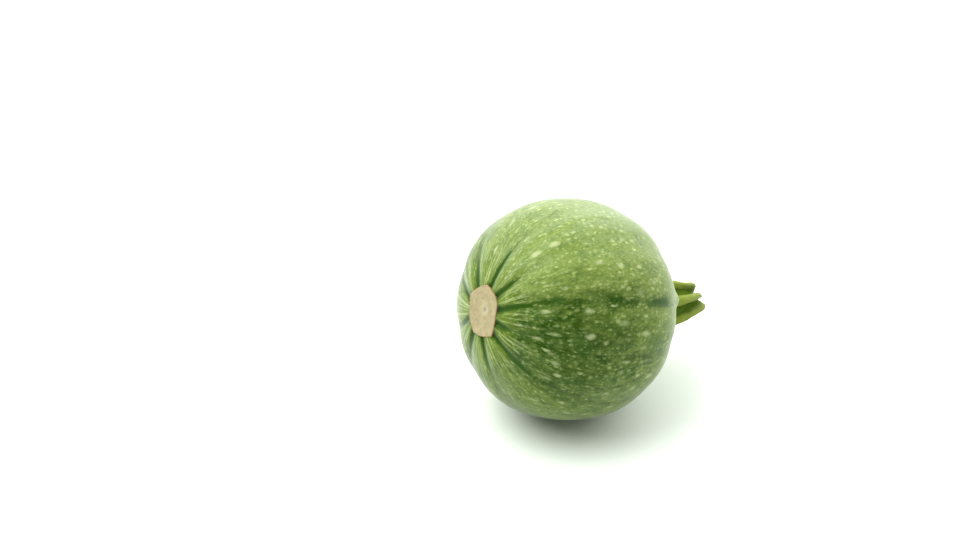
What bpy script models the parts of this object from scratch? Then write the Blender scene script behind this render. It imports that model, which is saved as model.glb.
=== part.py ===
"""A round zucchini as picked: a furrowed globe with its blossom scar, and the ridged stub of its stem.
It lies on its side on a small flat, with the stem a little low.

Each piece starts as a can turned about Z, whose points tell only a share of the radius, a longitude and
a level, and a formula then puts each point in its place. Both pieces are shaped upright, with the
globe's centre at the origin and the stem up, and an empty lays them down. Longitudes are in degrees
about the stem, and longitude 0 ends on top when the fruit lies down.
"""

import math

import bmesh
import bpy
from mathutils import Matrix, Vector, noise

MM = 0.001

# The globe
GLOBE_RADIUS = 45.0 * MM
GLOBE_HALF_LENGTH = 41.5 * MM
SQUARENESS = 2.3  # 2 is an ellipse, and more fills out the shoulders
LUMP_HEIGHT = 0.55 * MM
LUMP_SPAN = 36.0 * MM

# The ten dark lines, each with its longitude at the scar and at the stem
LINES = (
    (-1, -10),
    (27, 22),
    (54, 54),
    (84, 88),
    (110, 122),
    (154, 158),
    (192, 195),
    (225, 233),
    (275, 272),
    (314, 311),
)
RIDGE_LINES = slice(0, None, 2)  # every other line runs into a ridge of the stem
RIB_HEIGHT = 0.28 * MM  # how far the rind swells between the lines
FURROW_DEPTH = 0.55 * MM  # at the scar
FURROW_REACH = 17.0 * MM
SHOULDER_RIDGE = 1.8 * MM  # where a ridge of the stem runs out over the rind
SHOULDER_REACH = 16.0 * MM

# The blossom scar, with its corners as longitude and distance from the axis
SCAR_CORNERS = (
    (-10, 11.9 * MM),
    (20, 11.7 * MM),
    (43, 11.6 * MM),
    (85, 10.0 * MM),
    (117, 11.4 * MM),
    (157, 9.5 * MM),
    (190, 10.1 * MM),
    (228, 9.0 * MM),
    (262, 8.9 * MM),
    (285, 11.2 * MM),
    (327, 10.5 * MM),
)
SCAR_BOW = 0.2 * MM  # how far the middle of each side bows out
SCAR_STANDS = 0.5 * MM  # height of the cork's edge above the rind
SCAR_DISH = 0.5 * MM  # how far the cork's middle lies below its edge
SCAR_BEVEL = 0.25 * MM

# The stem
STEM_LENGTH = 25.0 * MM
STEM_FOOT_RADIUS = 12.6 * MM
STEM_CONE_RADIUS = 12.4 * MM  # the plain cone at its foot
STEM_TIP_RADIUS = 4.5 * MM
STEM_TAPER = 0.85
STEM_FLARE = 0.35  # share of the length over which the foot flares
TOE_REACH = 0.20  # share of the radius that the foot gains at a ridge
RIDGE_AT_FOOT, RIDGE_AT_TIP = 0.10, 0.52  # share of the radius that the side gains at a ridge
CORD_FROM, CORD_FULL = 0.22, 0.95  # where between two flutes a ridge starts, and where it is full
TIP_ROUNDING, TIP_ROUNDS_FROM = 1.3 * MM, 0.93
TIP_PRONG = 2.4 * MM  # how far the ridges stand past the grooves at the cut
TIP_DISH = 1.3 * MM
TIP_SLANT, TIP_SLANT_LONGITUDE = 2.4 * MM, 150.0
TIP_SADDLE, TIP_SADDLE_LONGITUDE = 1.0 * MM, 54.0  # the cut is low on this line and high beside it
STEM_BEND, STEM_BEND_LONGITUDE = 3.0 * MM, -30.0
TOUCHING_GAP = 0.3 * MM

# How it lies
STEM_DROOP = 16.5  # degrees below level
FLAT_DEPTH = 1.1 * MM  # taken off the lowest point, where the fruit lay and lies

# How finely each can is divided
GLOBE_STEPS, SCAR_SIDE_RINGS, STEM_SIDE_RINGS = 84, 16, 13
STEM_STEPS = 90
STEM_LEVELS = (0.0, 0.03, 0.07, 0.12, 0.18, 0.25, 0.34, 0.45, 0.58, 0.72, 0.86, 0.93, 0.97, 0.99, 1.0)
CORK_FLOOR = -1.0  # the level that stands for the cork, below the rind's levels of 0 to 1

RIND_COLOUR = (0.13, 0.195, 0.045, 1)
CORK_COLOUR = (0.31, 0.27, 0.145, 1)
STEM_COLOUR = (0.14, 0.18, 0.02, 1)


def between(a, b, share):
    return a + (b - a) * share


def upright(radius, longitude, height):
    angle = math.radians(longitude)
    return Vector((radius * math.cos(angle), radius * math.sin(angle), height))


def peaks(longitude, angles, sharpness):
    """1 on each of some rising longitudes, and 0 halfway between two of them."""
    turned = (longitude - angles[0]) % 360.0
    steps = [angle - angles[0] for angle in angles] + [360.0]
    start = max(step for step in steps[:-1] if step <= turned)
    end = steps[steps.index(start) + 1]
    wave = math.cos(2 * math.pi * (turned - start) / (end - start))
    return (0.5 + 0.5 * wave) ** sharpness


def on_line(longitude, share_to_stem, sharpness):
    """1 on each dark line."""
    return peaks(longitude, [between(*line, share_to_stem) for line in LINES], sharpness)


def on_ridge(longitude, sharpness):
    """1 on each of the stem's five ridges."""
    return peaks(longitude, [at_stem for _, at_stem in LINES[RIDGE_LINES]], sharpness)


# The globe


def globe_reach(latitude):
    """Distance from the centre to the plain globe, at a latitude in radians."""
    across = (abs(math.cos(latitude)) / GLOBE_RADIUS) ** SQUARENESS
    along = (abs(math.sin(latitude)) / GLOBE_HALF_LENGTH) ** SQUARENESS
    return (across + along) ** (-1 / SQUARENESS)


def globe_height(radius):
    """Height of the plain globe above its middle, at a distance from the axis."""
    return GLOBE_HALF_LENGTH * (1 - (radius / GLOBE_RADIUS) ** SQUARENESS) ** (1 / SQUARENESS)


def scar_radius(longitude):
    """The scar's outline: the chord between two corners, bowed out a little."""
    steps = [(angle - longitude) % 360.0 for angle, _ in SCAR_CORNERS]
    after = steps.index(min(steps))
    (start, near), (end, far) = SCAR_CORNERS[after - 1], SCAR_CORNERS[after]
    angle = math.radians((end - start) % 360.0)
    swept = math.radians((longitude - start) % 360.0)
    chord = near * far * math.sin(angle) / (near * math.sin(swept) + far * math.sin(angle - swept))
    return chord + SCAR_BOW * math.sin(math.pi * swept / angle)


def relief(longitude, latitude):
    """How far the rind stands out from the plain globe."""
    from_axis = globe_reach(latitude) * math.cos(latitude)
    share_to_stem = 0.5 + 0.5 * math.sin(latitude)
    height = RIB_HEIGHT * math.cos(latitude) * (1 - 2 * on_line(longitude, share_to_stem, 1.5))
    if latitude < 0:
        fade = math.exp(-(((from_axis - scar_radius(longitude)) / FURROW_REACH) ** 2))
        height -= FURROW_DEPTH * fade * on_line(longitude, share_to_stem, 3.0)
    else:
        fade = math.exp(-(((from_axis - STEM_FOOT_RADIUS) / SHOULDER_REACH) ** 2))
        height += SHOULDER_RIDGE * fade * (on_ridge(longitude, 4.0) - 0.35)
    place = upright(from_axis, longitude, globe_reach(latitude) * math.sin(latitude))
    return height + LUMP_HEIGHT * noise.noise(place / LUMP_SPAN)


def rind_point(longitude, latitude):
    reach = globe_reach(latitude) + relief(longitude, latitude)
    return upright(reach * math.cos(latitude), longitude, reach * math.sin(latitude))


def fruit_point(share, longitude, level):
    """The globe's can: its floor is the cork of the scar, and its wall and lid are the rind."""
    edge = scar_radius(longitude)
    if level == CORK_FLOOR:
        height = -globe_height(edge) - SCAR_STANDS + SCAR_DISH * (1 - share**2)
        return upright((edge - SCAR_BEVEL) * share, longitude, height)
    if share == 0:
        return rind_point(0.0, math.pi / 2)
    scar_latitude = -math.atan2(globe_height(edge), edge)
    return rind_point(longitude, between(scar_latitude, math.pi / 2, level))


# The stem


def seat_height(longitude, radius):
    """Height of the rind under the stem, with the gap that two touching pieces keep."""
    latitude = math.atan2(globe_height(radius), radius)
    return rind_point(longitude, latitude).z + TOUCHING_GAP


def foot_radius(longitude):
    return STEM_FOOT_RADIUS * (1 + TOE_REACH * (on_ridge(longitude, 1.6) - 0.4))


def cords(longitude):
    """How far the stem's ridges stand out: round cords with flutes between them."""
    share = min(max((on_ridge(longitude, 1.0) - CORD_FROM) / (CORD_FULL - CORD_FROM), 0.0), 1.0)
    return share * share * (3 - 2 * share)


def tip_rounding(level):
    """How far the side draws in near the cut, along a quarter circle."""
    share = max(level - TIP_ROUNDS_FROM, 0.0) / (1 - TIP_ROUNDS_FROM)
    return TIP_ROUNDING * (1 - math.sqrt(1 - share**2))


def flank_radius(longitude, level):
    """Distance of the stem's side from its axis, from the foot at level 0 to the cut at level 1."""
    cone = between(STEM_CONE_RADIUS, STEM_TIP_RADIUS, level**STEM_TAPER)
    ridges = between(RIDGE_AT_FOOT, RIDGE_AT_TIP, level)
    side = cone * (1 + ridges * (cords(longitude) - 0.42))
    flared = between(side, foot_radius(longitude), max(1 - level / STEM_FLARE, 0.0) ** 2)
    return flared - tip_rounding(level)


def cut_height(longitude):
    """Height of the cut's edge: slanted, sagging between, and highest on the ridges."""
    slant = TIP_SLANT * math.cos(math.radians(longitude - TIP_SLANT_LONGITUDE))
    saddle = TIP_SADDLE * math.cos(math.radians(2 * (longitude - TIP_SADDLE_LONGITUDE)))
    prong = TIP_PRONG * (cords(longitude) - 0.6)
    return GLOBE_HALF_LENGTH + STEM_LENGTH + slant - saddle + prong


def stem_point(share, longitude, level):
    """The stem's can: its floor lies on the rind, its wall is the flank, and its lid is the cut."""
    if level == 0:
        radius = foot_radius(longitude) * share
        return upright(radius, longitude, seat_height(longitude, radius))
    foot = seat_height(longitude, foot_radius(longitude))
    height = between(foot, cut_height(longitude), level)
    if share < 1:
        height = between(GLOBE_HALF_LENGTH + STEM_LENGTH - TIP_DISH, height, share**1.5)
    side = upright(flank_radius(longitude, level) * share, longitude, height)
    return side + upright(STEM_BEND * level**2, STEM_BEND_LONGITUDE, 0)


# Meshes and materials


def turned_can(floor, levels, lid, steps, place):
    """A closed mesh: a can's profile turned about Z, with place(share, longitude, level) for each point.

    floor and lid hold the shares of the radius at which the two ends have their rings."""
    profile = [(share, levels[0]) for share in floor]
    profile += [(1.0, level) for level in levels[1:]]
    profile += [(share, levels[-1]) for share in lid]
    mesh = bmesh.new()
    points = [mesh.verts.new((share, 0, level)) for share, level in profile]
    for pair in zip(points, points[1:]):
        mesh.edges.new(pair)
    geometry = mesh.verts[:] + mesh.edges[:]
    whole = 2 * math.pi
    bmesh.ops.spin(mesh, geom=geometry, axis=(0, 0, 1), angle=whole, steps=steps, use_merge=True)
    bmesh.ops.remove_doubles(mesh, verts=mesh.verts, dist=1e-5)
    for point in mesh.verts:
        share = math.hypot(point.co.x, point.co.y)
        longitude = math.degrees(math.atan2(point.co.y, point.co.x))
        point.co = place(round(share, 5), longitude, round(point.co.z, 5))
    bmesh.ops.recalc_face_normals(mesh, faces=mesh.faces)
    return mesh


def cut_flat(mesh, down, depth):
    """Slices off what lies within depth of the lowest point, and returns the middle of the new face."""
    lowest = max(point.co.dot(down) for point in mesh.verts)
    geometry = mesh.verts[:] + mesh.edges[:] + mesh.faces[:]
    plane = down * (lowest - depth)
    bmesh.ops.bisect_plane(mesh, geom=geometry, plane_co=plane, plane_no=down, clear_outer=True)
    rim = [edge for edge in mesh.edges if edge.is_boundary]
    (face,) = bmesh.ops.contextual_create(mesh, geom=rim)["faces"]
    bmesh.ops.recalc_face_normals(mesh, faces=mesh.faces)
    return face.calc_center_median_weighted()


def colour_cork(mesh):
    """Gives the scar's face and its low wall the second material."""
    for face in mesh.faces:
        middle = face.calc_center_median()
        edge = scar_radius(math.degrees(math.atan2(middle.y, middle.x)))
        face.material_index = int(middle.z < 0 and math.hypot(middle.x, middle.y) < edge)


def build_fruit(down):
    """The globe, upright, with the flat cut on the side that will be down, and the middle of that flat."""
    levels = [CORK_FLOOR]
    levels += [0.5 * (ring / SCAR_SIDE_RINGS) ** 1.35 for ring in range(SCAR_SIDE_RINGS + 1)]
    levels += [0.5 + 0.46 * ring / STEM_SIDE_RINGS for ring in range(1, STEM_SIDE_RINGS + 1)]
    mesh = turned_can((0, 0.35, 0.7, 1), levels, (0,), GLOBE_STEPS, fruit_point)
    colour_cork(mesh)
    return mesh, cut_flat(mesh, down, FLAT_DEPTH)


def build_stem():
    return turned_can((0, 0.4, 0.75, 1), STEM_LEVELS, (0.8, 0.45, 0), STEM_STEPS, stem_point)


def finish(name, colour, roughness):
    made = bpy.data.materials.new(name)
    made.use_nodes = True
    shader = made.node_tree.nodes["Principled BSDF"]
    shader.inputs["Base Color"].default_value = colour
    shader.inputs["Roughness"].default_value = roughness
    shader.inputs["Metallic"].default_value = 0.0
    return made


def add_piece(mesh, name, materials, collection, parent):
    data = bpy.data.meshes.new(name)
    mesh.to_mesh(data)
    mesh.free()
    data.shade_smooth()
    data.set_sharp_from_angle(angle=math.radians(40))
    for material in materials:
        data.materials.append(material)
    piece = bpy.data.objects.new(name, data)
    collection.objects.link(piece)
    piece.parent = parent


def lying_turn():
    """The turn from upright to lying: the stem points along +X and droops."""
    droop = math.radians(STEM_DROOP)
    along_stem = Vector((math.cos(droop), 0, -math.sin(droop)))
    to_top = Vector((math.sin(droop), 0, math.cos(droop)))
    return Matrix((to_top, along_stem.cross(to_top), along_stem)).transposed()


def main():
    for old in list(bpy.data.objects):
        bpy.data.objects.remove(old)
    collection = bpy.data.collections.new("round_zucchini")
    bpy.context.scene.collection.children.link(collection)

    turn = lying_turn()
    fruit, rest = build_fruit(turn.inverted() @ Vector((0, 0, -1)))
    lying = bpy.data.objects.new("lying", None)
    collection.objects.link(lying)
    lying.rotation_mode = "QUATERNION"
    lying.rotation_quaternion = turn.to_quaternion()
    lying.location = -(turn @ rest)

    rind = finish("rind", RIND_COLOUR, 0.42)
    cork = finish("cork", CORK_COLOUR, 0.85)
    stem_skin = finish("stem_skin", STEM_COLOUR, 0.5)
    add_piece(fruit, "fruit", (rind, cork), collection, lying)
    add_piece(build_stem(), "stem", (stem_skin,), collection, lying)


main()
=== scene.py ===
"""A round zucchini on a pale studio table: its flecked rind, the cork of its blossom scar and its ridged
stem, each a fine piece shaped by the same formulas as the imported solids."""

import math
from typing import NamedTuple

import bmesh
import bpy
import numpy as np
from bpy.props import FloatProperty, FloatVectorProperty, IntProperty, PointerProperty
from mathutils import Matrix, Vector, noise


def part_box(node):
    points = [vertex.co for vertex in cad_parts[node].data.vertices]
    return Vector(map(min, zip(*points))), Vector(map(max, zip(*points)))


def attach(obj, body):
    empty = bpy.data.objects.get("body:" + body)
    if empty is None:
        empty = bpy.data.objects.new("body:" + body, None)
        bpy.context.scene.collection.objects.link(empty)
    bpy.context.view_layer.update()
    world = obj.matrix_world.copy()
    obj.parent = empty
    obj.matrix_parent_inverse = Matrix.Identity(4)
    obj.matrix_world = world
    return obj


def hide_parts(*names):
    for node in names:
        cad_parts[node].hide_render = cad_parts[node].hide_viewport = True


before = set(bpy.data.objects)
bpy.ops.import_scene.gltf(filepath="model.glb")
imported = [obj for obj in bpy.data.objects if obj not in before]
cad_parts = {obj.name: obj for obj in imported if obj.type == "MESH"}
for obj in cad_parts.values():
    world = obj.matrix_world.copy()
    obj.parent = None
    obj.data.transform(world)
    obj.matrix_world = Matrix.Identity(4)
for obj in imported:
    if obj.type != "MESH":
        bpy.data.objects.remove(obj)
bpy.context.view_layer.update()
FRUIT_LOW, FRUIT_HIGH = (np.array(corner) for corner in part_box("fruit"))

bl_info = {
    "name": "Round zucchini",
    "version": (1, 0, 0),
    "blender": (4, 5, 0),
    "location": "3D View > Sidebar > Zucchini",
    "description": "Grows a round zucchini round its packed solids",
    "category": "Object",
}

MM = 0.001

# How the fruit lies: its stem points along +X and droops
STEM_DROOP = math.radians(16.5)

# The globe's relief, as in the solids
LUMP_HEIGHT, LUMP_SPAN = 0.55 * MM, 36.0 * MM
RIB_HEIGHT, RIB_SHARPNESS = 0.28 * MM, 1.5
FURROW_REACH, FURROW_SHARPNESS = 17.0 * MM, 3.0
SHOULDER_RIDGE, SHOULDER_REACH = 1.8 * MM, 16.0 * MM
SHOULDER_SHARPNESS, SHOULDER_BASE = 4.0, 0.35

# The finer relief that only this rind has
CREASE_DEPTH, CREASE_HALF_WIDTH, CREASE_REACH = 0.14 * MM, 1.2 * MM, 12.0 * MM
FOLD_HEIGHT, FOLD_REACH, FOLD_WIDTH = 0.14 * MM, 8.0 * MM, 1.1 * MM
FOLD_TUBE, FOLD_DRAWN_OUT = 13.0 * MM, 0.15  # the folds are read on a tube, drawn out along it
DIMPLE_HEIGHT, DIMPLE_SPAN = 0.05 * MM, 2.8 * MM

# The nub of rind where one ridge runs out, by longitude and length along the rind from the stem's foot
NUB_LONGITUDE, NUB_FROM_FOOT, NUB_REACH = 55.0, 12.0 * MM, 6.5 * MM
NUB_HEIGHT, NUB_HALF_WIDTH = 1.7 * MM, 3.2 * MM


class Line(NamedTuple):
    """A dark line: its longitude at the scar and at the stem in degrees, its reach from the scar, how dark
    the wide band round it is, and how pale the rind is from it to the next line."""

    at_scar: float
    at_stem: float
    reach: float
    band: float
    paleness: float


LINES = (
    Line(-1, -10, 22 * MM, 0.35, 0.90),
    Line(27, 22, 15 * MM, 0.10, 0.62),
    Line(54, 59, 20 * MM, 0.85, 0.03),
    Line(84, 88, 9 * MM, 0.10, 0.00),
    Line(110, 122, 26 * MM, 0.60, 0.54),
    Line(154, 158, 16 * MM, 0.15, 0.52),
    Line(192, 195, 24 * MM, 0.60, 0.40),
    Line(225, 233, 13 * MM, 0.10, 0.66),
    Line(275, 272, 24 * MM, 0.60, 0.34),
    Line(314, 311, 16 * MM, 0.15, 0.70),
)
RIDGES = (-10, 54, 122, 195, 272)  # longitudes of the ridges on the stem
LINE_HALF_WIDTH, WEDGE_HALF_WIDTH, WEDGE_REACH = 0.70 * MM, 1.10 * MM, 8.0 * MM
STEM_LINE_REACH, STEM_LINE_STRENGTH = 18.0 * MM, 0.9
BAND_HALF_WIDTH = 2.8 * MM
SECTOR_BLEND = 0.34  # share of a sector over which its paleness blends into the next one's
AT_SCAR_REACH, AT_STEM_REACH, STEMWARD_REACH = 15 * MM, 20 * MM, 57 * MM

# The one dark patch, by longitude and length along the rind from the middle
PATCH_LONGITUDE, PATCH_ALONG, PATCH_REACH, PATCH_HALF_WIDTH = 57.0, 17.0 * MM, 9.0 * MM, 2.8 * MM

# The blossom scar's corners, as longitude and distance from the axis
SCAR_CORNERS = (
    (-10, 11.9 * MM),
    (20, 11.7 * MM),
    (43, 11.6 * MM),
    (85, 10.0 * MM),
    (117, 11.4 * MM),
    (157, 9.5 * MM),
    (190, 10.1 * MM),
    (228, 9.0 * MM),
    (262, 8.9 * MM),
    (285, 11.2 * MM),
    (327, 10.5 * MM),
)
# A share above 1 marks the scar's sides, which get a painted shade
SIDE_SHARE = 1.2  # what the scar's side has for its share of the radius
SCAR_BOW, SCAR_STANDS, SCAR_DISH = 0.2 * MM, 0.5 * MM, 0.5 * MM
SCAR_SEAT, SCAR_THICKNESS, SCAR_TAPER = 2.2 * MM, 2.0 * MM, 0.4 * MM
RIM_FROM, RIM_RISE = 0.93, 0.25 * MM
TEAR_DEPTH, TEAR_WIDTH = 0.16 * MM, 0.7 * MM
CRUMB_SIZES = ((0.10 * MM, 1.6 * MM), (0.05 * MM, 0.5 * MM))  # height and span
PIT_FROM_AXIS, PIT_LONGITUDE = 2.4 * MM, 30.0  # the style's pit lies beside the axis
PIT_KNOB, PIT_KNOB_HALF_WIDTH = 0.28 * MM, 0.8 * MM
PIT_RING, PIT_RING_RADIUS, PIT_RING_HALF_WIDTH = 0.15 * MM, 2.0 * MM, 1.0 * MM

# The stem's proportions
STEM_TAPER, STEM_FLARE = 0.85, 0.35
TOE_REACH, TOE_SHARPNESS, TOE_BASE = 0.20, 1.6, 0.4
RIDGE_AT_FOOT, RIDGE_AT_TIP, RIDGE_BASE = 0.10, 0.52, 0.42
TIP_PRONG, PRONG_BASE, TIP_DISH = 2.4 * MM, 0.6, 1.3 * MM
TIP_SLANT, TIP_SLANT_LONGITUDE = 2.4 * MM, 150.0
TIP_SADDLE, TIP_SADDLE_LONGITUDE = 1.0 * MM, 54.0
STEM_BEND, STEM_BEND_LONGITUDE = 3.0 * MM, -30.0
CORD_FROM, CORD_FULL = 0.22, 0.95
TIP_ROUNDING, TIP_ROUNDS_FROM = 1.3 * MM, 0.93
STEM_SEAT, STEM_SUNK = 6.0 * MM, 0.6 * MM  # where the rind ends under the stem, and how deep it is sunk
RING_CROWDING, CUT_RINGS = 1.25, 25
GRAIN_TUBE = 7.0 * MM
STRAND_TUBE, STRAND_DRAWN_OUT, STRAND_WIDTH, STRAND_HEIGHT = 6.0 * MM, 0.06, 0.55 * MM, 0.10 * MM
KNOB_DRAWN_OUT, KNOB_SPAN, KNOB_HEIGHT = 0.6, 2.2 * MM, 0.55 * MM
PITH_SPAN, PITH_HEIGHT = 0.8 * MM, 0.18 * MM
WEB_REACH = 0.12

# The photograph's frame in pixels, and the fruit's middle and width in it
PHOTO_WIDTH, PHOTO_HEIGHT = 960, 540
FRUIT_PIXEL_X, FRUIT_PIXEL_Y, FRUIT_PIXELS_ACROSS = 566, 309, 221

# The stage, with directions as shares towards the camera, to its right and upwards
SENSOR_WIDTH = 36.0  # millimetres, as the lens
TABLE_RADIUS = 6.0
BRIGHT_SIDE = (-0.85, 0.28, 0.50)
ROOM_DIM_BELOW, ROOM_BRIGHT_ABOVE = -0.10, 0.95
SOFTBOX_PLACE, SOFTBOX_WIDTH = (0.10, -0.70, 1.05), 1.2


def size(name, description, default):
    kind = {"subtype": "DISTANCE", "unit": "LENGTH"}
    return FloatProperty(name=name, description=description, default=default, **kind)


def turn(name, description, degrees):
    kind = {"subtype": "ANGLE", "unit": "ROTATION"}
    return FloatProperty(name=name, description=description, default=math.radians(degrees), **kind)


def light(name, description, default, **kind):
    return FloatProperty(name=name, description=description, default=default, min=0, **kind)


def colour(name, description, default):
    kind = {"subtype": "COLOR", "min": 0, "max": 1}
    return FloatVectorProperty(name=name, description=description, default=default, **kind)


def count(name, description, default, least):
    return IntProperty(name=name, description=description, default=default, min=least)


class GlobeSettings(bpy.types.PropertyGroup):
    radius: size("Radius", "Half the fruit's greatest width", 45 * MM)
    half_length: size("Half length", "From the fruit's middle to either end of its axis", 41.5 * MM)
    squareness: FloatProperty(name="Squareness", description="2 is an ellipse", default=2.3, min=1.8, max=4)
    furrow_depth: size("Furrow depth", "Depth of the furrows at the blossom scar", 0.55 * MM)
    steps: count("Steps", "Points between two dark lines", 42, 6)
    rings: count("Rings", "Rings from the scar to the stem", 205, 30)


class RindSettings(bpy.types.PropertyGroup):
    deep: colour("Deep green", "The rind on its dark sides", (0.021, 0.062, 0.000))
    light: colour("Light green", "The rind on its pale sides", (0.215, 0.265, 0.080))
    # Partly the rind's pale streaks, partly a painted highlight
    haze_and_highlight: colour("Haze", "Pale haze over the palest sides", (0.255, 0.305, 0.172))
    cool: colour("Cool green", "Bluish patches", (0.055, 0.122, 0.030))
    fleck: colour("Fleck", "The small pale flecks", (0.315, 0.370, 0.165))
    spot: colour("Spot", "The large pale spots", (0.335, 0.385, 0.190))
    wedge: colour("Wedge", "The bright rind between the lines at the scar", (0.152, 0.210, 0.017))
    line: colour("Line", "The dark lines", (0.010, 0.045, 0.000))


class ScarSettings(bpy.types.PropertyGroup):
    cork: colour("Cork", "The scar's dry face", (0.320, 0.272, 0.148))
    rim: colour("Rim", "The scar's torn edge", (0.250, 0.165, 0.068))
    steps: count("Steps", "Points between two corners", 30, 6)
    rings: count("Rings", "Rings across the scar", 60, 8)


class StemSettings(bpy.types.PropertyGroup):
    length: size("Length", "From the end of the globe to the cut", 25 * MM)
    foot_radius: size("Foot radius", "Radius of the flared foot", 12.6 * MM)
    cone_radius: size("Cone radius", "Radius at the foot without the flare", 12.4 * MM)
    tip_radius: size("Tip radius", "Radius at the cut", 4.5 * MM)
    ridge: colour("Ridge", "The pale backs of the ridges", (0.165, 0.215, 0.022))
    flute: colour("Flute", "The darker flutes between them", (0.048, 0.092, 0.000))
    pith: colour("Pith", "The cut face", (0.240, 0.280, 0.110))
    steps: count("Steps", "Points between two ridges", 60, 10)
    rings: count("Rings", "Rings from the foot to the cut", 110, 12)


class StageSettings(bpy.types.PropertyGroup):
    azimuth: turn("Azimuth", "The camera's turn about the fruit", -29.5)
    elevation: turn("Elevation", "The camera's height above level", 34)
    lens: FloatProperty(name="Lens", description="The camera's, in millimetres", default=100, min=20)
    # The table's slight green tint is painted green bounce light from the fruit, seen only in its shadow
    table: colour("Table", "The pale table", (0.65, 0.70, 0.64))
    backdrop_light: light("Backdrop light", "Strength of the white room behind the fruit", 3.35)
    front_light: light("Front light", "Strength of the dim room behind the camera", 0.42)
    softbox_light: light("Softbox light", "Power of the softbox above the fruit", 21, unit="POWER")


# Shape


def between(a, b, share):
    return a + (b - a) * share


def bell(distance, half_width):
    return np.exp(-((distance / half_width) ** 2))


def upright(radius, longitude, height):
    """Points at a distance from the axis, a longitude in degrees and a height."""
    angle = np.radians(longitude)
    return np.stack(np.broadcast_arrays(radius * np.cos(angle), radius * np.sin(angle), height), axis=-1)


def bumps(points, span):
    """Smooth noise from about -1 to 1, whose bumps are about a span wide."""
    return np.array([noise.noise(point) for point in (points / span).tolist()])


def place_among(longitude, angles):
    """The number of the last of some rising longitudes, and the share of the way from it to the next."""
    angles = angles + 0 * longitude
    steps = np.concatenate([angles - angles[:1], np.full_like(angles[:1], 360.0)])
    turned = (longitude - angles[0]) % 360.0
    last = (turned >= steps[1:-1]).sum(axis=0)
    start, end = (np.take_along_axis(steps, last[None] + more, axis=0)[0] for more in (0, 1))
    return last, (turned - start) / (end - start)


def deal_out(dial, angles):
    """Longitudes for a dial from 0 to 1, with the same share of the dial between any two angles."""
    angles = angles + 0 * dial
    steps = np.concatenate([angles, angles[:1] + 360.0])
    last = np.minimum((dial * len(angles)).astype(int), len(angles) - 1)
    start, end = (np.take_along_axis(steps, last[None] + more, axis=0)[0] for more in (0, 1))
    return between(start, end, dial * len(angles) - last)


def rising(angles):
    return np.array(angles, dtype=float)[:, None]


def line_angles(share_to_stem):
    at_scar, at_stem = rising([line.at_scar for line in LINES]), rising([line.at_stem for line in LINES])
    return between(at_scar, at_stem, share_to_stem)


def on_ridge(longitude, sharpness):
    """1 on each of the stem's ridges, and 0 halfway between two of them."""
    _, share = place_among(longitude, rising(RIDGES))
    return (0.5 + 0.5 * np.cos(2 * np.pi * share)) ** sharpness


def globe_reach(globe, latitude):
    """Distance from the centre to the plain globe, at a latitude in radians."""
    across = (abs(np.cos(latitude)) / globe.radius) ** globe.squareness
    along = (abs(np.sin(latitude)) / globe.half_length) ** globe.squareness
    return (across + along) ** (-1 / globe.squareness)


def globe_height(globe, radius):
    """Height of the plain globe above its middle, at a distance from the axis."""
    share = (radius / globe.radius) ** globe.squareness
    return globe.half_length * (1 - share) ** (1 / globe.squareness)


def latitude_at(globe, radius):
    return np.arctan2(globe_height(globe, radius), radius)


def scar_radius(longitude):
    """The scar's outline: the chord between two corners, bowed out a little."""
    angles = rising([angle for angle, _ in SCAR_CORNERS])
    reaches = np.array([reach for _, reach in SCAR_CORNERS])
    last, share = place_among(longitude, angles)
    following = (last + 1) % len(SCAR_CORNERS)
    near, far = reaches[last], reaches[following]
    angle = np.radians((angles[following, 0] - angles[last, 0]) % 360.0)
    swept = angle * share
    chord = near * far * np.sin(angle) / (near * np.sin(swept) + far * np.sin(angle - swept))
    return chord + SCAR_BOW * np.sin(np.pi * share)


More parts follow.
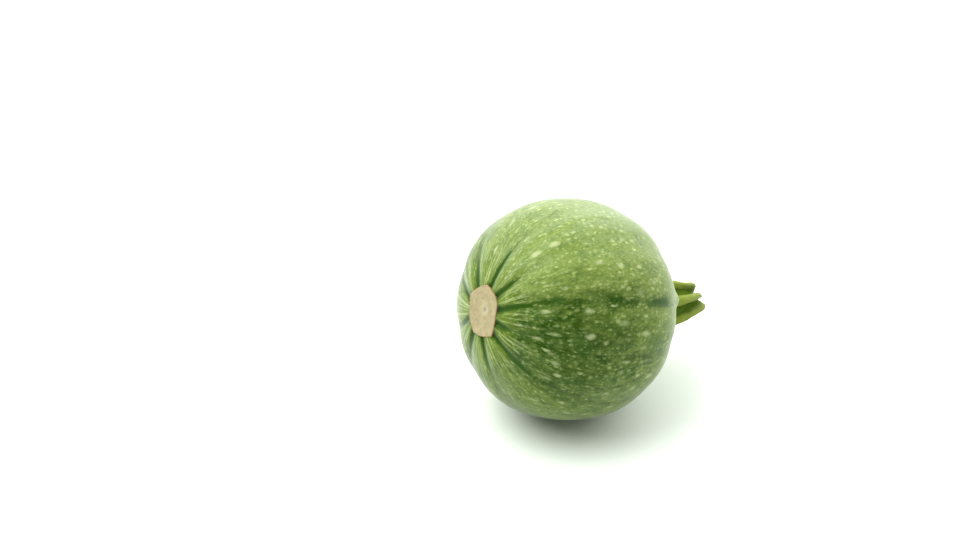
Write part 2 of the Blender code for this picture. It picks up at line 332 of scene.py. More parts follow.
class RindPlaces:
    """Places on the rind, with all that their height and their colour depend on."""

    def __init__(self, globe, stem, longitude, latitude):
        self.globe, self.longitude, self.latitude = globe, longitude, latitude
        reach = globe_reach(globe, latitude)
        self.from_axis = reach * np.cos(latitude)
        self.plain = upright(self.from_axis, longitude, reach * np.sin(latitude))
        self.foot_radius = stem.foot_radius
        scar_edge = latitude_at(globe, scar_radius(longitude))
        foot_edge = latitude_at(globe, stem.foot_radius)
        self.from_scar = np.maximum(self.run(latitude) + self.run(scar_edge), 0)
        self.from_foot = np.maximum(self.run(foot_edge) - self.run(latitude), 0)
        angles = line_angles(0.5 + 0.5 * np.sin(latitude))
        self.last, self.share = place_among(longitude, angles)
        following = (self.last + 1) % len(LINES)
        pair = (self.last, following)
        start, end = (np.take_along_axis(angles, number[None], axis=0)[0] for number in pair)
        to_line = np.minimum(self.share, 1 - self.share)
        self.gap = np.radians((end - start) % 360.0) * to_line * self.from_axis
        self.nearest = np.where(self.share < 0.5, self.last, following)
        self.major = self.nearest % 2 == 0

    def run(self, latitude):
        """Length along the rind from the middle to a latitude."""
        return latitude * (self.globe.radius + self.globe.half_length) / 2

    def across(self, longitude):
        """Length round the axis from a longitude in degrees."""
        return np.radians((self.longitude - longitude + 180) % 360 - 180) * self.from_axis

    def of_line(self, name):
        return np.array([getattr(line, name) for line in LINES])[self.nearest]

    def height(self):
        """How far the rind stands out from the plain globe."""
        on_line = 0.5 + 0.5 * np.cos(2 * np.pi * self.share)
        height = RIB_HEIGHT * np.cos(self.latitude) * (1 - 2 * on_line**RIB_SHARPNESS)
        at_scar = bell(self.from_axis - scar_radius(self.longitude), FURROW_REACH) * (self.latitude < 0)
        height -= self.globe.furrow_depth * at_scar * on_line**FURROW_SHARPNESS
        at_stem = bell(self.from_axis - self.foot_radius, SHOULDER_REACH) * (self.latitude >= 0)
        height += SHOULDER_RIDGE * at_stem * (on_ridge(self.longitude, SHOULDER_SHARPNESS) - SHOULDER_BASE)
        height += LUMP_HEIGHT * bumps(self.plain, LUMP_SPAN)
        height -= CREASE_DEPTH * bell(self.gap, CREASE_HALF_WIDTH) * bell(self.from_scar, CREASE_REACH)
        height += DIMPLE_HEIGHT * bumps(self.plain, DIMPLE_SPAN)
        nub = bell(self.from_foot - NUB_FROM_FOOT, NUB_REACH) * (self.latitude > 0)
        height += NUB_HEIGHT * nub * bell(self.across(NUB_LONGITUDE), NUB_HALF_WIDTH)
        folds = bumps(upright(FOLD_TUBE, self.longitude, self.plain[:, 2] * FOLD_DRAWN_OUT), FOLD_WIDTH)
        return height + FOLD_HEIGHT * folds * bell(self.from_scar, FOLD_REACH)

    def points(self):
        reach = globe_reach(self.globe, self.latitude) + self.height()
        return upright(reach * np.cos(self.latitude), self.longitude, reach * np.sin(self.latitude))

    def marks(self):
        """What the rind's colour depends on: where its pattern is read, in millimetres on a tube round the
        globe, which draws it out near both ends, and how much of each kind of mark is there."""
        half_width = LINE_HALF_WIDTH + WEDGE_HALF_WIDTH * np.exp(-self.from_scar / WEDGE_REACH)
        at_stem = STEM_LINE_STRENGTH * self.major * bell(self.from_foot, STEM_LINE_REACH)
        paleness = np.array([line.paleness for line in LINES])
        before, here, after = (paleness[(self.last + more) % len(LINES)] for more in (-1, 0, 1))
        pale = here + (before - here) / 2 * bell(self.share, SECTOR_BLEND)
        pale += (after - here) / 2 * bell(1 - self.share, SECTOR_BLEND)
        patch = bell(self.run(self.latitude) - PATCH_ALONG, PATCH_REACH)
        return {
            "grain": upright(self.globe.radius, self.longitude, self.run(self.latitude)) / MM,
            "edge": self.gap / half_width,
            "line": np.maximum(bell(self.from_scar, self.of_line("reach")), at_stem),
            "band": self.of_line("band") * bell(self.gap, BAND_HALF_WIDTH),
            "patch": patch * bell(self.across(PATCH_LONGITUDE), PATCH_HALF_WIDTH),
            "pale": pale,
            "at_scar": bell(self.from_scar, AT_SCAR_REACH),
            "at_stem": bell(self.from_foot, AT_STEM_REACH),
            # Paler towards the stem: partly the rind's own tone, partly a painted sheen on that side
            "stemward_and_sheen": bell(self.from_foot, STEMWARD_REACH),
        }


def foot_reach(stem, longitude):
    return stem.foot_radius * (1 + TOE_REACH * (on_ridge(longitude, TOE_SHARPNESS) - TOE_BASE))


def cords(longitude):
    """How far the stem's cords stand out: narrow round ridges with wide flutes between them."""
    share = np.clip((on_ridge(longitude, 1.0) - CORD_FROM) / (CORD_FULL - CORD_FROM), 0, 1)
    return share * share * (3 - 2 * share)


def flank_reach(stem, longitude, level):
    """Distance of the stem's side from its axis, from the foot at level 0 to the cut at level 1."""
    cone = between(stem.cone_radius, stem.tip_radius, level**STEM_TAPER)
    ridges = between(RIDGE_AT_FOOT, RIDGE_AT_TIP, level)
    side = cone * (1 + ridges * (cords(longitude) - RIDGE_BASE))
    flare = np.maximum(1 - level / STEM_FLARE, 0.0) ** 2
    rounded = np.clip((level - TIP_ROUNDS_FROM) / (1 - TIP_ROUNDS_FROM), 0, 1)
    rounding = TIP_ROUNDING * (1 - np.sqrt(1 - rounded**2))
    return between(side, foot_reach(stem, longitude), flare) - rounding


def cut_height(globe, stem, longitude):
    """Height of the cut's edge: slanted, sagging between, and highest on the ridges."""
    slant = TIP_SLANT * np.cos(np.radians(longitude - TIP_SLANT_LONGITUDE))
    saddle = TIP_SADDLE * np.cos(np.radians(2 * (longitude - TIP_SADDLE_LONGITUDE)))
    return globe.half_length + stem.length + slant - saddle + TIP_PRONG * (cords(longitude) - PRONG_BASE)


def lying(points):
    """Upright points, stem up, turned to lie as the fruit does."""
    along_stem = np.array((math.cos(STEM_DROOP), 0, -math.sin(STEM_DROOP)))
    to_top = np.array((math.sin(STEM_DROOP), 0, math.cos(STEM_DROOP)))
    return points @ np.array((to_top, np.cross(along_stem, to_top), along_stem))


def globe_middle(points):
    """Where the globe's middle lies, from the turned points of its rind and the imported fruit's box."""
    low, high = points.min(axis=0), points.max(axis=0)
    middle = (FRUIT_LOW + FRUIT_HIGH) / 2 - (low + high) / 2
    middle[2] = FRUIT_HIGH[2] - high[2]
    return middle


# Mesh making


def turned_can(floor, levels, lid, steps):
    """A closed can round Z, and for each of its points the share of the radius, the share of the turn and
    the level. It is a tube of rings whose two ends are drawn together on the axis."""
    profile = [(share, levels[0]) for share in floor]
    profile += [(1.0, level) for level in levels[1:]]
    profile += [(share, levels[-1]) for share in lid]
    last = len(profile) - 1
    mesh = bmesh.new()
    bmesh.ops.create_cone(mesh, segments=steps, radius1=1, radius2=1, depth=1)
    upright_edges = [edge for edge in mesh.edges if edge.verts[0].co.z * edge.verts[1].co.z < 0]
    bmesh.ops.subdivide_edges(mesh, edges=upright_edges, cuts=last - 1, use_grid_fill=True)
    for height in (-0.5, 0.5):
        end = [vertex for vertex in mesh.verts if abs(vertex.co.z - height) < 0.1 / last]
        bmesh.ops.pointmerge(mesh, verts=end, merge_co=(0, 0, height))
    places = np.array([vertex.co for vertex in mesh.verts])
    ring = np.round((places[:, 2] + 0.5) * last).astype(int)
    dial = np.round(np.arctan2(places[:, 0], places[:, 1]) / (2 * math.pi) * steps) / steps % 1.0
    share, level = np.array(profile)[ring].T
    return mesh, share, dial, level


def put_down(mesh, name, points, marks, finish, node):
    """Makes a piece of a mesh, with marks as its attributes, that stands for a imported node."""
    for vertex, point in zip(mesh.verts, points):
        vertex.co = point
    bmesh.ops.recalc_face_normals(mesh, faces=mesh.faces)
    data = bpy.data.meshes.new(name)
    mesh.to_mesh(data)
    mesh.free()
    data.shade_smooth()
    for mark, values in marks.items():
        wide = values.ndim == 2
        layer = data.attributes.new(mark, "FLOAT_VECTOR" if wide else "FLOAT", "POINT")
        layer.data.foreach_set("vector" if wide else "value", values.astype(np.float32).ravel())
    data.materials.append(finish)
    piece = bpy.data.objects.new(name, data)
    bpy.context.scene.collection.objects.link(piece)
    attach(piece, "root")
    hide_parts(node)
    return piece


# Finishes


class Finish:
    """A material that is built up from nodes, one socket at a time."""

    def __init__(self, name, **uniform):
        self.material = bpy.data.materials.new(name)
        self.material.use_nodes = True
        self.tree = self.material.node_tree
        self.shader = self.tree.nodes["Principled BSDF"]
        for socket, value in uniform.items():
            self.shader.inputs[socket.replace("_", " ")].default_value = value

    def feed(self, socket, value):
        if isinstance(value, bpy.types.NodeSocket):
            self.tree.links.new(value, socket)
        else:
            socket.default_value = value

    def node(self, kind, settings=(), inputs=()):
        made = self.tree.nodes.new(kind)
        for name, value in dict(settings).items():
            setattr(made, name, value)
        for name, value in dict(inputs).items():
            self.feed(made.inputs[name], value)
        return made

    def mark(self, name, output="Fac"):
        return self.node("ShaderNodeAttribute", {"attribute_name": name}).outputs[output]

    def stretched(self, vector, along, move=(0, 0, 0)):
        """A vector whose pattern is drawn out along the fruit's axis, the more the smaller the number."""
        inputs = {"Vector": vector, "Scale": (1, 1, along), "Location": move}
        return self.node("ShaderNodeMapping", {"vector_type": "POINT"}, inputs).outputs[0]

    def math(self, kind, a, b=0.0):
        return self.node("ShaderNodeMath", {"operation": kind}, {0: a, 1: b}).outputs[0]

    def product(self, first, *others):
        for other in others:
            first = self.math("MULTIPLY", first, other)
        return first

    def shift(self, value, pattern, amount):
        """A value moved up and down by a pattern that runs from 0 to 1."""
        return self.math("ADD", value, self.product(self.math("SUBTRACT", pattern, 0.5), amount))

    def ramp(self, value, low, high, to_low=0.0, to_high=1.0):
        inputs = {"Value": value, "From Min": low, "From Max": high, "To Min": to_low, "To Max": to_high}
        return self.node("ShaderNodeMapRange", {"interpolation_type": "SMOOTHSTEP"}, inputs).outputs[0]

    def clouds(self, vector, span, detail=2.0, roughness=0.5):
        inputs = {"Vector": vector, "Scale": 1 / span, "Detail": detail, "Roughness": roughness}
        return self.node("ShaderNodeTexNoise", (), inputs).outputs["Fac"]

    def warped(self, vector, span, amount):
        """A vector that is moved about by up to an amount, in waves of a span."""
        inputs = {"Vector": vector, "Scale": 1 / span, "Detail": 1.0}
        push = self.node("ShaderNodeTexNoise", (), inputs).outputs["Color"]
        kind = "ShaderNodeVectorMath"
        push = self.node(kind, {"operation": "SUBTRACT"}, {0: push, 1: (0.5, 0.5, 0.5)}).outputs[0]
        push = self.node(kind, {"operation": "SCALE"}, {0: push, "Scale": 2 * amount}).outputs[0]
        return self.node(kind, {"operation": "ADD"}, {0: vector, 1: push}).outputs[0]

    def flecks(self, vector, span, smallest, largest, kept, core):
        """Soft flecks, one in each cell, each of its own size and strength, in the share of the cells that is
        kept. The smaller the core, the softer they are."""
        inputs = {"Vector": vector, "Scale": 1 / span, "Randomness": 0.85}
        cells = self.node("ShaderNodeTexVoronoi", (), inputs).outputs
        draws = self.node("ShaderNodeSeparateColor", (), {"Color": cells["Color"]}).outputs
        reach = self.ramp(draws[0], 0.0, 1.0, smallest, largest)
        shape = self.ramp(self.math("DIVIDE", cells["Distance"], reach), 1.0, core)
        drawn = self.ramp(draws[1], kept + 0.1, kept - 0.1)
        return self.product(shape, drawn, self.ramp(draws[2], 0.0, 1.0, 0.4, 1.0))

    def mix(self, share, a, b, kind="MIX"):
        """Colour b over colour a by a share. The node has sockets for numbers and vectors too, so the ones
        for the share and for the two colours are picked by number."""
        made = self.node("ShaderNodeMix", {"data_type": "RGBA", "blend_type": kind})
        for socket, value in zip((made.inputs[0], made.inputs[6], made.inputs[7]), (share, a, b)):
            plain = isinstance(value, (bpy.types.NodeSocket, float, int))
            self.feed(socket, value if plain else (*value, 1))
        return made.outputs[2]

    def bump(self, height, distance, strength):
        inputs = {"Height": height, "Distance": distance, "Strength": strength}
        return self.node("ShaderNodeBump", (), inputs).outputs[0]

    def shade(self, **sockets):
        for name, value in sockets.items():
            self.feed(self.shader.inputs[name.replace("_", " ")], value)
        return self.material


# Shades and tints, for red, green and blue: the first three multiply the colour under them
NET_SHADE, CELL_TINT, GRAIN_SHADE = (0.62, 0.70, 0.50), (1.25, 1.20, 1.20), (0.55, 0.66, 0.42)
CORK_SPECK, PALE_CORK, PIT_DARK = (0.27, 0.19, 0.10), (0.37, 0.35, 0.23), (0.165, 0.165, 0.105)
STEM_WEB = (0.20, 0.24, 0.09)
RIND_GLOSS = {"Specular_IOR_Level": 0.2, "Specular_Tint": (0.6, 0.8, 0.3, 1)}
RIND_BLOOM = {"Sheen_Weight": 0.2, "Sheen_Roughness": 0.3}


def rind_finish(colours):
    """A dark net over paler flecks and spots, drawn out towards the ends, with the dark lines over them."""
    finish = Finish("rind", Metallic=0.0, **RIND_GLOSS, **RIND_BLOOM)
    grain = finish.mark("grain", "Vector")
    at_scar, at_stem = finish.mark("at_scar"), finish.mark("at_stem")
    line, edge, band = finish.mark("line"), finish.mark("edge"), finish.mark("band")
    warped = finish.warped(grain, span=3.2, amount=0.6)
    warped = finish.warped(warped, span=1.0, amount=0.17)
    drawn_out = finish.stretched(warped, 0.72)

    # The ground: deep on the dark sides, light on the pale ones, in soft patches of three sizes
    patches = finish.clouds(finish.stretched(grain, 0.55), span=11.0, detail=3.0)
    small_patches = finish.clouds(finish.stretched(grain, 0.5, (7, 3, 0)), span=3.0, detail=2.0)
    tiny_patches = finish.clouds(finish.stretched(grain, 0.4, (2, 8, 0)), span=1.3, detail=3.0)
    tone = finish.shift(finish.mark("pale"), patches, 1.0)
    tone = finish.shift(tone, small_patches, 1.5)
    tone = finish.shift(tone, tiny_patches, 0.9)
    tone = finish.math("SUBTRACT", tone, finish.product(band, 0.48))
    # Paler towards the stem: partly the rind's own tone, partly a painted sheen on that side of the fruit
    tone = finish.math("ADD", tone, finish.product(finish.mark("stemward_and_sheen"), 0.95))
    ground = finish.mix(finish.ramp(tone, -0.25, 1.05), colours.deep, colours.light)
    cool = finish.clouds(finish.stretched(grain, 0.8, (40, 0, 9)), span=6.0, detail=3.0)
    ground = finish.mix(finish.product(finish.ramp(cool, 0.50, 0.68), 0.4), ground, colours.cool)
    ground = finish.mix(finish.product(finish.ramp(at_scar, 0.35, 0.95), 0.7), ground, colours.wedge)

    # A pale haze in long streaks over the palest sides: partly the rind's own pale streaks, partly a painted
    # highlight
    haze_and_highlight = finish.clouds(finish.stretched(warped, 0.24, (5, 9, 1)), span=3.4, detail=3.0)
    palest = finish.ramp(finish.mark("pale"), 0.60, 0.92)
    haze_and_highlight = finish.product(finish.ramp(haze_and_highlight, 0.36, 0.64), palest, 0.65)
    ground = finish.mix(haze_and_highlight, ground, colours.haze_and_highlight)

    # The net: a fine dark mesh round faint flecks of two sizes
    grit = finish.clouds(drawn_out, span=0.7, detail=3.0, roughness=0.6)
    faint = finish.flecks(drawn_out, span=2.1, smallest=0.36, largest=0.60, kept=0.92, core=0.0)
    finer = finish.stretched(drawn_out, 1, (2, 9, 5))
    finer = finish.flecks(finer, span=1.3, smallest=0.40, largest=0.60, kept=0.90, core=0.0)
    net = finish.shift(finish.math("MAXIMUM", faint, finish.product(finer, 0.7)), grit, 0.9)
    dark = finish.mix(1.0, ground, NET_SHADE, "MULTIPLY")
    bright = finish.mix(0.36, finish.mix(1.0, ground, CELL_TINT, "MULTIPLY"), colours.fleck)
    skin = finish.mix(finish.ramp(net, -0.05, 0.85), dark, bright)
    dots = finish.clouds(finish.stretched(drawn_out, 1, (6, 1, 7)), span=1.0, detail=3.0, roughness=0.6)
    dots = finish.product(finish.ramp(dots, 0.56, 0.34), 0.66)
    skin = finish.mix(dots, skin, finish.mix(1.0, skin, GRAIN_SHADE, "MULTIPLY"))

    # Bright flecks, fewer large pale spots, and a few dark nicks
    off_line = finish.ramp(edge, 1.0, 2.2)
    small = finish.stretched(drawn_out, 1, (3, 5, 2))
    small = finish.flecks(small, span=2.5, smallest=0.24, largest=0.40, kept=0.90, core=0.0)
    skin = finish.mix(finish.product(small, off_line, 0.54), skin, colours.fleck)
    large = finish.warped(finish.stretched(drawn_out, 0.85, (1, 8, 4)), span=1.3, amount=0.38)
    large = finish.flecks(large, span=5.0, smallest=0.18, largest=0.40, kept=0.90, core=0.20)
    skin = finish.mix(finish.product(large, off_line, 0.84), skin, colours.spot)
    nicks = finish.stretched(drawn_out, 1, (9, 2, 6))
    nicks = finish.flecks(nicks, span=8.5, smallest=0.07, largest=0.14, kept=0.4, core=0.2)
    skin = finish.mix(finish.product(nicks, 0.8), skin, colours.line)

    # Pale streaks that run out from the scar and in from the stem
    streaks = finish.clouds(finish.stretched(warped, 0.11), span=2.8, detail=3.0)
    ends = finish.math("MAXIMUM", at_scar, at_stem)
    streaks = finish.product(finish.ramp(streaks, 0.50, 0.66), ends, off_line, 0.75)
    skin = finish.mix(streaks, skin, colours.fleck)

    # The lines, with frayed edges and gaps, and the dark patch
    fray = finish.clouds(finish.stretched(grain, 0.25), span=1.4, detail=3.0)
    across = finish.ramp(finish.shift(edge, fray, 1.8), 1.6, 0.5)
    along = finish.ramp(finish.shift(line, fray, 0.8), 0.15, 0.75)
    patch = finish.ramp(finish.shift(finish.mark("patch"), fray, 0.8), 0.15, 0.95)
    mark = finish.math("MAXIMUM", finish.product(across, along), patch)
    skin = finish.mix(finish.product(mark, 0.96), skin, colours.line)

    normal = finish.bump(net, distance=0.00008, strength=0.4)
    roughness = finish.ramp(net, 0.0, 1.0, 0.36, 0.50)
    return finish.shade(Base_Color=skin, Roughness=roughness, Normal=normal)


def cork_finish(colours):
    """Dry tan cork, torn and browner at its rim, with a small dark pit and pale crumbs in the middle, and a
    painted shade on its sides.
    """
    finish = Finish("cork", Metallic=0.0, Specular_IOR_Level=0.25)
    grain, share = finish.mark("grain", "Vector"), finish.mark("share")
    mottle = finish.clouds(grain, span=3.2, detail=5.0, roughness=0.62)
    specks = finish.clouds(grain, span=0.5, detail=3.0)
    dull_cork = [0.80 * part for part in colours.cork]
    face = finish.mix(finish.ramp(mottle, 0.35, 0.62), dull_cork, colours.cork)
    face = finish.mix(finish.ramp(specks, 0.62, 0.78, 0, 0.5), face, CORK_SPECK)

    from_pit = finish.shift(finish.mark("from_pit"), mottle, 3.0)
    face = finish.mix(finish.product(finish.ramp(from_pit, 3.6, 1.4), 0.55), face, PALE_CORK)
    face = finish.mix(finish.product(finish.ramp(from_pit, 1.1, 0.3), 0.6), face, PIT_DARK)
    face = finish.mix(finish.ramp(finish.shift(share, mottle, 0.10), 0.955, 1.0), face, colours.rim)
    # The plate's sides: the rim's brown darkened, a painted shade
    side = [0.55 * part for part in colours.rim]
    face = finish.mix(finish.ramp(share, 1.02, 1.12), face, side)
    normal = finish.bump(finish.math("ADD", mottle, specks), distance=0.00025, strength=0.7)
    return finish.shade(Base_Color=face, Roughness=0.88, Normal=normal)


def stalk_finish(colours):
    """Yellow-green ridges with fine lines along them, deep green flutes, and a pale pithy cut."""
    finish = Finish("stem_skin", Metallic=0.0, Specular_IOR_Level=0.06)
    grain, ridge = finish.mark("grain", "Vector"), finish.mark("ridge")
    fibres = finish.clouds(finish.stretched(grain, 0.06), span=0.75, detail=3.0)
    blotches = finish.clouds(finish.stretched(grain, 0.5), span=2.2, detail=3.0)
    height = finish.shift(finish.shift(ridge, fibres, 1.2), blotches, 0.9)
    skin = finish.mix(finish.ramp(height, 0.10, 0.85), colours.flute, colours.ridge)
    skin = finish.mix(finish.product(finish.mark("web"), 0.75), skin, STEM_WEB)
    skin = finish.mix(finish.product(finish.mark("end"), 0.75), skin, colours.pith)
    threads = finish.clouds(finish.stretched(grain, 0.3), span=0.9, detail=4.0)
    dull_pith = [0.72 * part for part in colours.pith]
    pith = finish.mix(finish.ramp(threads, 0.35, 0.7), dull_pith, colours.pith)
    skin = finish.mix(finish.ramp(finish.mark("cut"), 0.4, 0.6), skin, pith)
    normal = finish.bump(fibres, distance=0.00025, strength=0.8)
    return finish.shade(Base_Color=skin, Roughness=0.72, Normal=normal)


# The pieces


class ZUCCHINI_OT_rind(bpy.types.Operator):
    """Grow the furrowed globe with its flecked rind"""

    bl_idname = "zucchini.rind"
    bl_label = "Rind"

    def execute(self, context):
        globe, stem = context.scene.zucchini_globe, context.scene.zucchini_stem
        levels = np.linspace(0, 1, globe.rings)
        mesh, share, dial, level = turned_can((0, 0.6, 0.96, 1), levels, (0.5, 0), globe.steps * len(LINES))
        top = latitude_at(globe, np.where(level == 1, STEM_SEAT * share, STEM_SEAT))

        # The lines slant and the scar isn't round, so longitude and latitude are found in turns
        latitude = between(-latitude_at(globe, SCAR_CORNERS[0][1]), top, level)
        for _ in range(2):
            longitude = deal_out(dial, line_angles(0.5 + 0.5 * np.sin(latitude)))
            latitude = between(-latitude_at(globe, scar_radius(longitude)), top, level)

        places = RindPlaces(globe, stem, longitude, latitude)
        points = places.points()
        seat = (level == 0) & (share < 1)
        radius = scar_radius(longitude)
        points[seat] = upright(radius * share, longitude, SCAR_SEAT - globe_height(globe, radius))[seat]
        points = lying(points)
        middle = globe_middle(points)
        context.scene["globe_middle"] = middle.tolist()
        points += middle
        points[:, 2] = np.maximum(points[:, 2], 0)
        finish = rind_finish(context.scene.zucchini_rind)
        put_down(mesh, "fruit_rind", points, places.marks(), finish, "fruit")
        return {"FINISHED"}


class ZUCCHINI_OT_scar(bpy.types.Operator):
    """Set the dished cork of the blossom scar into the globe"""

    bl_idname = "zucchini.scar"
    bl_label = "Blossom scar"

    def execute(self, context):
        globe, scar = context.scene.zucchini_globe, context.scene.zucchini_scar
        floor = np.linspace(0, 1, scar.rings)
        steps = scar.steps * len(SCAR_CORNERS)
        mesh, share, dial, level = turned_can(floor, (0, 0.3, 0.6, 1), (0.6, 0), steps)
        longitude = deal_out(dial, rising([angle for angle, _ in SCAR_CORNERS]))
        edge = scar_radius(longitude)
        rim = np.maximum((share - RIM_FROM) / (1 - RIM_FROM), 0)
        radius = edge * share + TEAR_DEPTH * bumps(upright(edge, longitude, 0), TEAR_WIDTH) * rim
        height = between(-globe_height(globe, edge.mean()), -globe_height(globe, edge), share**2)
        height += SCAR_DISH * (1 - share**2) - SCAR_STANDS
        points = upright(radius, longitude, height)
        for crumb, span in CRUMB_SIZES:
            height += crumb * bumps(points, span)
        from_pit = np.linalg.norm(points[:, :2] - upright(PIT_FROM_AXIS, PIT_LONGITUDE, 0)[:2], axis=1)
        height += PIT_KNOB * bell(from_pit, PIT_KNOB_HALF_WIDTH)
        height -= PIT_RING * bell(from_pit - PIT_RING_RADIUS, PIT_RING_HALF_WIDTH)
        height += RIM_RISE * rim**2 + SCAR_THICKNESS * level
        radius -= SCAR_TAPER * level * share
        points = lying(upright(radius, longitude, height)) + np.array(context.scene["globe_middle"])
        marks = {
            "grain": upright(radius, longitude, SCAR_THICKNESS * level) / MM,
            "share": np.where(level > 0, SIDE_SHARE, share),
            "from_pit": from_pit / MM,
        }
        put_down(mesh, "blossom_scar", points, marks, cork_finish(scar), "fruit")
        return {"FINISHED"}


class ZUCCHINI_OT_stem(bpy.types.Operator):
    """Raise the ridged stub of the stem"""

    bl_idname = "zucchini.stem"
    bl_label = "Stem"

    def execute(self, context):
        globe, stem = context.scene.zucchini_globe, context.scene.zucchini_stem
        levels = np.linspace(0, 1, stem.rings) ** RING_CROWDING
        lid = np.linspace(1, 0, CUT_RINGS)[1:]
        mesh, share, dial, level = turned_can((0, 0.5, 0.85, 1), levels, lid, stem.steps * len(RIDGES))
        longitude = deal_out(dial, rising(RIDGES))
        foot = self.rind_height(globe, stem, longitude, foot_reach(stem, longitude))
        side = flank_reach(stem, longitude, level)
        height = between(foot, cut_height(globe, stem, longitude), level)
        flank = (share == 1) & (level > 0)
        strands = bumps(upright(STRAND_TUBE, longitude, height * STRAND_DRAWN_OUT), STRAND_WIDTH)
        knobs = bumps(upright(side, longitude, height * KNOB_DRAWN_OUT), KNOB_SPAN)
        side += flank * (STRAND_HEIGHT * strands + KNOB_HEIGHT * level * knobs)
        cut = (level == 1) & (share < 1)
        dished = between(globe.half_length + stem.length - TIP_DISH, height, share**1.5)
        dished += PITH_HEIGHT * bumps(upright(side * share, longitude, 0), PITH_SPAN)
        height = np.where(cut, dished, height)
        under = level == 0
        radius = np.where(under, foot_reach(stem, longitude), side) * share
        seat = self.rind_height(globe, stem, longitude, radius) - STEM_SUNK
        height = np.where(under, seat, height)
        points = upright(radius, longitude, height) + upright(STEM_BEND * level**2, STEM_BEND_LONGITUDE, 0)
        points = lying(points) + np.array(context.scene["globe_middle"])
        ridge = cords(longitude)
        marks = {
            "grain": upright(GRAIN_TUBE * share, longitude, height) / MM,
            "ridge": ridge,
            "cut": cut.astype(float),
            "web": (1 - ridge) ** 1.5 * bell(level, WEB_REACH),
            "end": ridge * level**3,
        }
        put_down(mesh, "stem_stub", points, marks, stalk_finish(stem), "stem")
        return {"FINISHED"}

    def rind_height(self, globe, stem, longitude, radius):
        """Height of the rind above the globe's middle, at a distance from the axis on the stem's side."""
        return RindPlaces(globe, stem, longitude, latitude_at(globe, radius)).points()[:, 2]


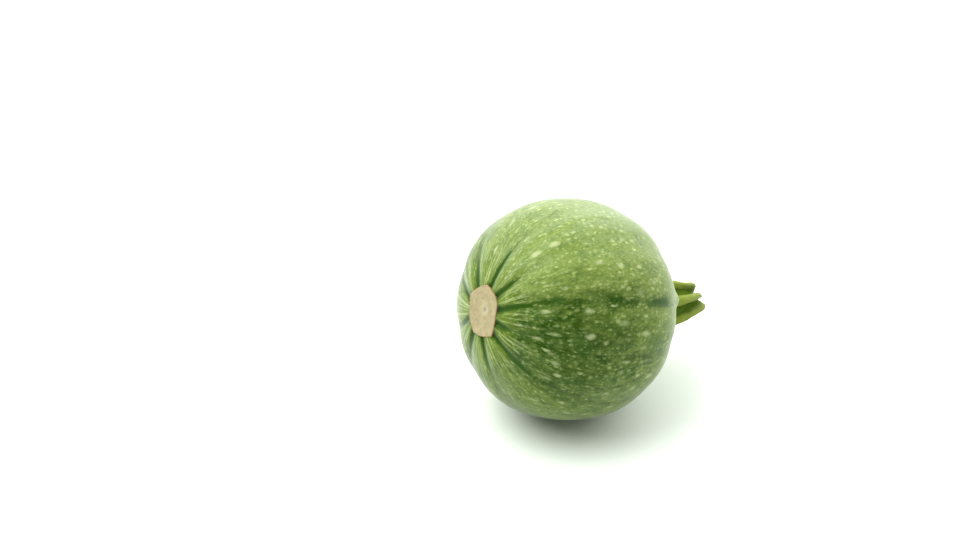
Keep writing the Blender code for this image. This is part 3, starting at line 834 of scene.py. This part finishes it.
class ZUCCHINI_OT_stage(bpy.types.Operator):
    """Set the pale table, the soft lights and the camera"""

    bl_idname = "zucchini.stage"
    bl_label = "Stage"

    def execute(self, context):
        stage = context.scene.zucchini_stage
        level = Vector((math.sin(stage.azimuth), -math.cos(stage.azimuth), 0))
        self.camera(context, stage, level)
        self.table(context, stage)
        self.lights(context, stage, level)
        context.scene.view_settings.view_transform = "Standard"
        return {"FINISHED"}

    def camera(self, context, stage, level):
        """A camera that shows the fruit where the photograph does, looking along a level direction."""
        data = bpy.data.cameras.new("camera")
        data.lens = stage.lens
        data.sensor_width = SENSOR_WIDTH
        back = level * math.cos(stage.elevation) + Vector((0, 0, math.sin(stage.elevation)))
        right = Vector((0, 0, 1)).cross(level)
        up = back.cross(right)
        pixel = 2 * context.scene.zucchini_globe.radius / FRUIT_PIXELS_ACROSS
        distance = pixel * PHOTO_WIDTH * data.lens / data.sensor_width
        aim = Vector(context.scene["globe_middle"])
        aim -= right * (FRUIT_PIXEL_X - PHOTO_WIDTH / 2) * pixel
        aim += up * (FRUIT_PIXEL_Y - PHOTO_HEIGHT / 2) * pixel
        camera = bpy.data.objects.new("camera", data)
        turn = Matrix((right, up, back)).transposed().to_4x4()
        camera.matrix_world = Matrix.Translation(aim + back * distance) @ turn
        context.scene.collection.objects.link(camera)
        context.scene.camera = camera

    def table(self, context, stage):
        mesh = bmesh.new()
        bmesh.ops.create_circle(mesh, cap_ends=True, segments=128, radius=TABLE_RADIUS)
        data = bpy.data.meshes.new("table")
        mesh.to_mesh(data)
        mesh.free()
        table = bpy.data.objects.new("table", data)
        context.scene.collection.objects.link(table)
        finish = Finish("table", Roughness=0.7, Specular_IOR_Level=0.2)
        # Its slight green tint is painted green bounce light, seen only where the table is in shadow
        data.materials.append(finish.shade(Base_Color=(*stage.table, 1)))

    def lights(self, context, stage, level):
        """A white room that dims towards the camera, and a wide softbox above the back of the fruit."""
        world = bpy.data.worlds.new("room")
        world.use_nodes = True
        nodes, links = world.node_tree.nodes, world.node_tree.links
        sky = nodes["Background"]
        place = nodes.new("ShaderNodeTexCoord")
        dot = nodes.new("ShaderNodeVectorMath")
        dot.operation = "DOT_PRODUCT"
        axes = Matrix((level, Vector((0, 0, 1)).cross(level), (0, 0, 1))).transposed()
        dot.inputs[1].default_value = axes @ Vector(BRIGHT_SIDE)
        links.new(place.outputs["Generated"], dot.inputs[0])
        fade = nodes.new("ShaderNodeMapRange")
        fade.interpolation_type = "SMOOTHSTEP"
        fade.inputs["From Min"].default_value = ROOM_DIM_BELOW
        fade.inputs["From Max"].default_value = ROOM_BRIGHT_ABOVE
        fade.inputs["To Min"].default_value = stage.front_light
        fade.inputs["To Max"].default_value = stage.backdrop_light
        links.new(dot.outputs["Value"], fade.inputs["Value"])
        links.new(fade.outputs[0], sky.inputs["Strength"])
        sky.inputs["Color"].default_value = (1, 1, 1, 1)
        context.scene.world = world
        softbox = bpy.data.lights.new("softbox", "AREA")
        softbox.shape = "DISK"
        softbox.size = SOFTBOX_WIDTH
        softbox.energy = stage.softbox_light
        lamp = bpy.data.objects.new("softbox", softbox)
        lamp.location = axes @ Vector(SOFTBOX_PLACE)
        lamp.rotation_mode = "QUATERNION"
        lamp.rotation_quaternion = (-lamp.location).to_track_quat("-Z", "Y")
        context.scene.collection.objects.link(lamp)


class ZUCCHINI_PT_pieces(bpy.types.Panel):
    """The pieces of the zucchini, in the order they are made"""

    bl_idname = "ZUCCHINI_PT_pieces"
    bl_label = "Round zucchini"
    bl_space_type = "VIEW_3D"
    bl_region_type = "UI"
    bl_category = "Zucchini"

    def draw(self, context):
        for operator in OPERATORS:
            self.layout.operator(operator.bl_idname)
        for group in GROUPS:
            settings = getattr(context.scene, group)
            box = self.layout.box()
            for name in settings.bl_rna.properties.keys():
                if name not in ("rna_type", "name"):
                    box.prop(settings, name)


OPERATORS = (ZUCCHINI_OT_rind, ZUCCHINI_OT_scar, ZUCCHINI_OT_stem, ZUCCHINI_OT_stage)
GROUPS = {
    "zucchini_globe": GlobeSettings,
    "zucchini_rind": RindSettings,
    "zucchini_scar": ScarSettings,
    "zucchini_stem": StemSettings,
    "zucchini_stage": StageSettings,
}


def register():
    for group, settings in GROUPS.items():
        bpy.utils.register_class(settings)
        setattr(bpy.types.Scene, group, PointerProperty(type=settings))
    for operator in OPERATORS:
        bpy.utils.register_class(operator)
    bpy.utils.register_class(ZUCCHINI_PT_pieces)


def unregister():
    bpy.utils.unregister_class(ZUCCHINI_PT_pieces)
    for operator in reversed(OPERATORS):
        bpy.utils.unregister_class(operator)
    for group, settings in GROUPS.items():
        delattr(bpy.types.Scene, group)
        bpy.utils.unregister_class(settings)


def main():
    register()
    bpy.ops.zucchini.rind()
    bpy.ops.zucchini.scar()
    bpy.ops.zucchini.stem()
    bpy.ops.zucchini.stage()


if __name__ == "__main__":
    main()
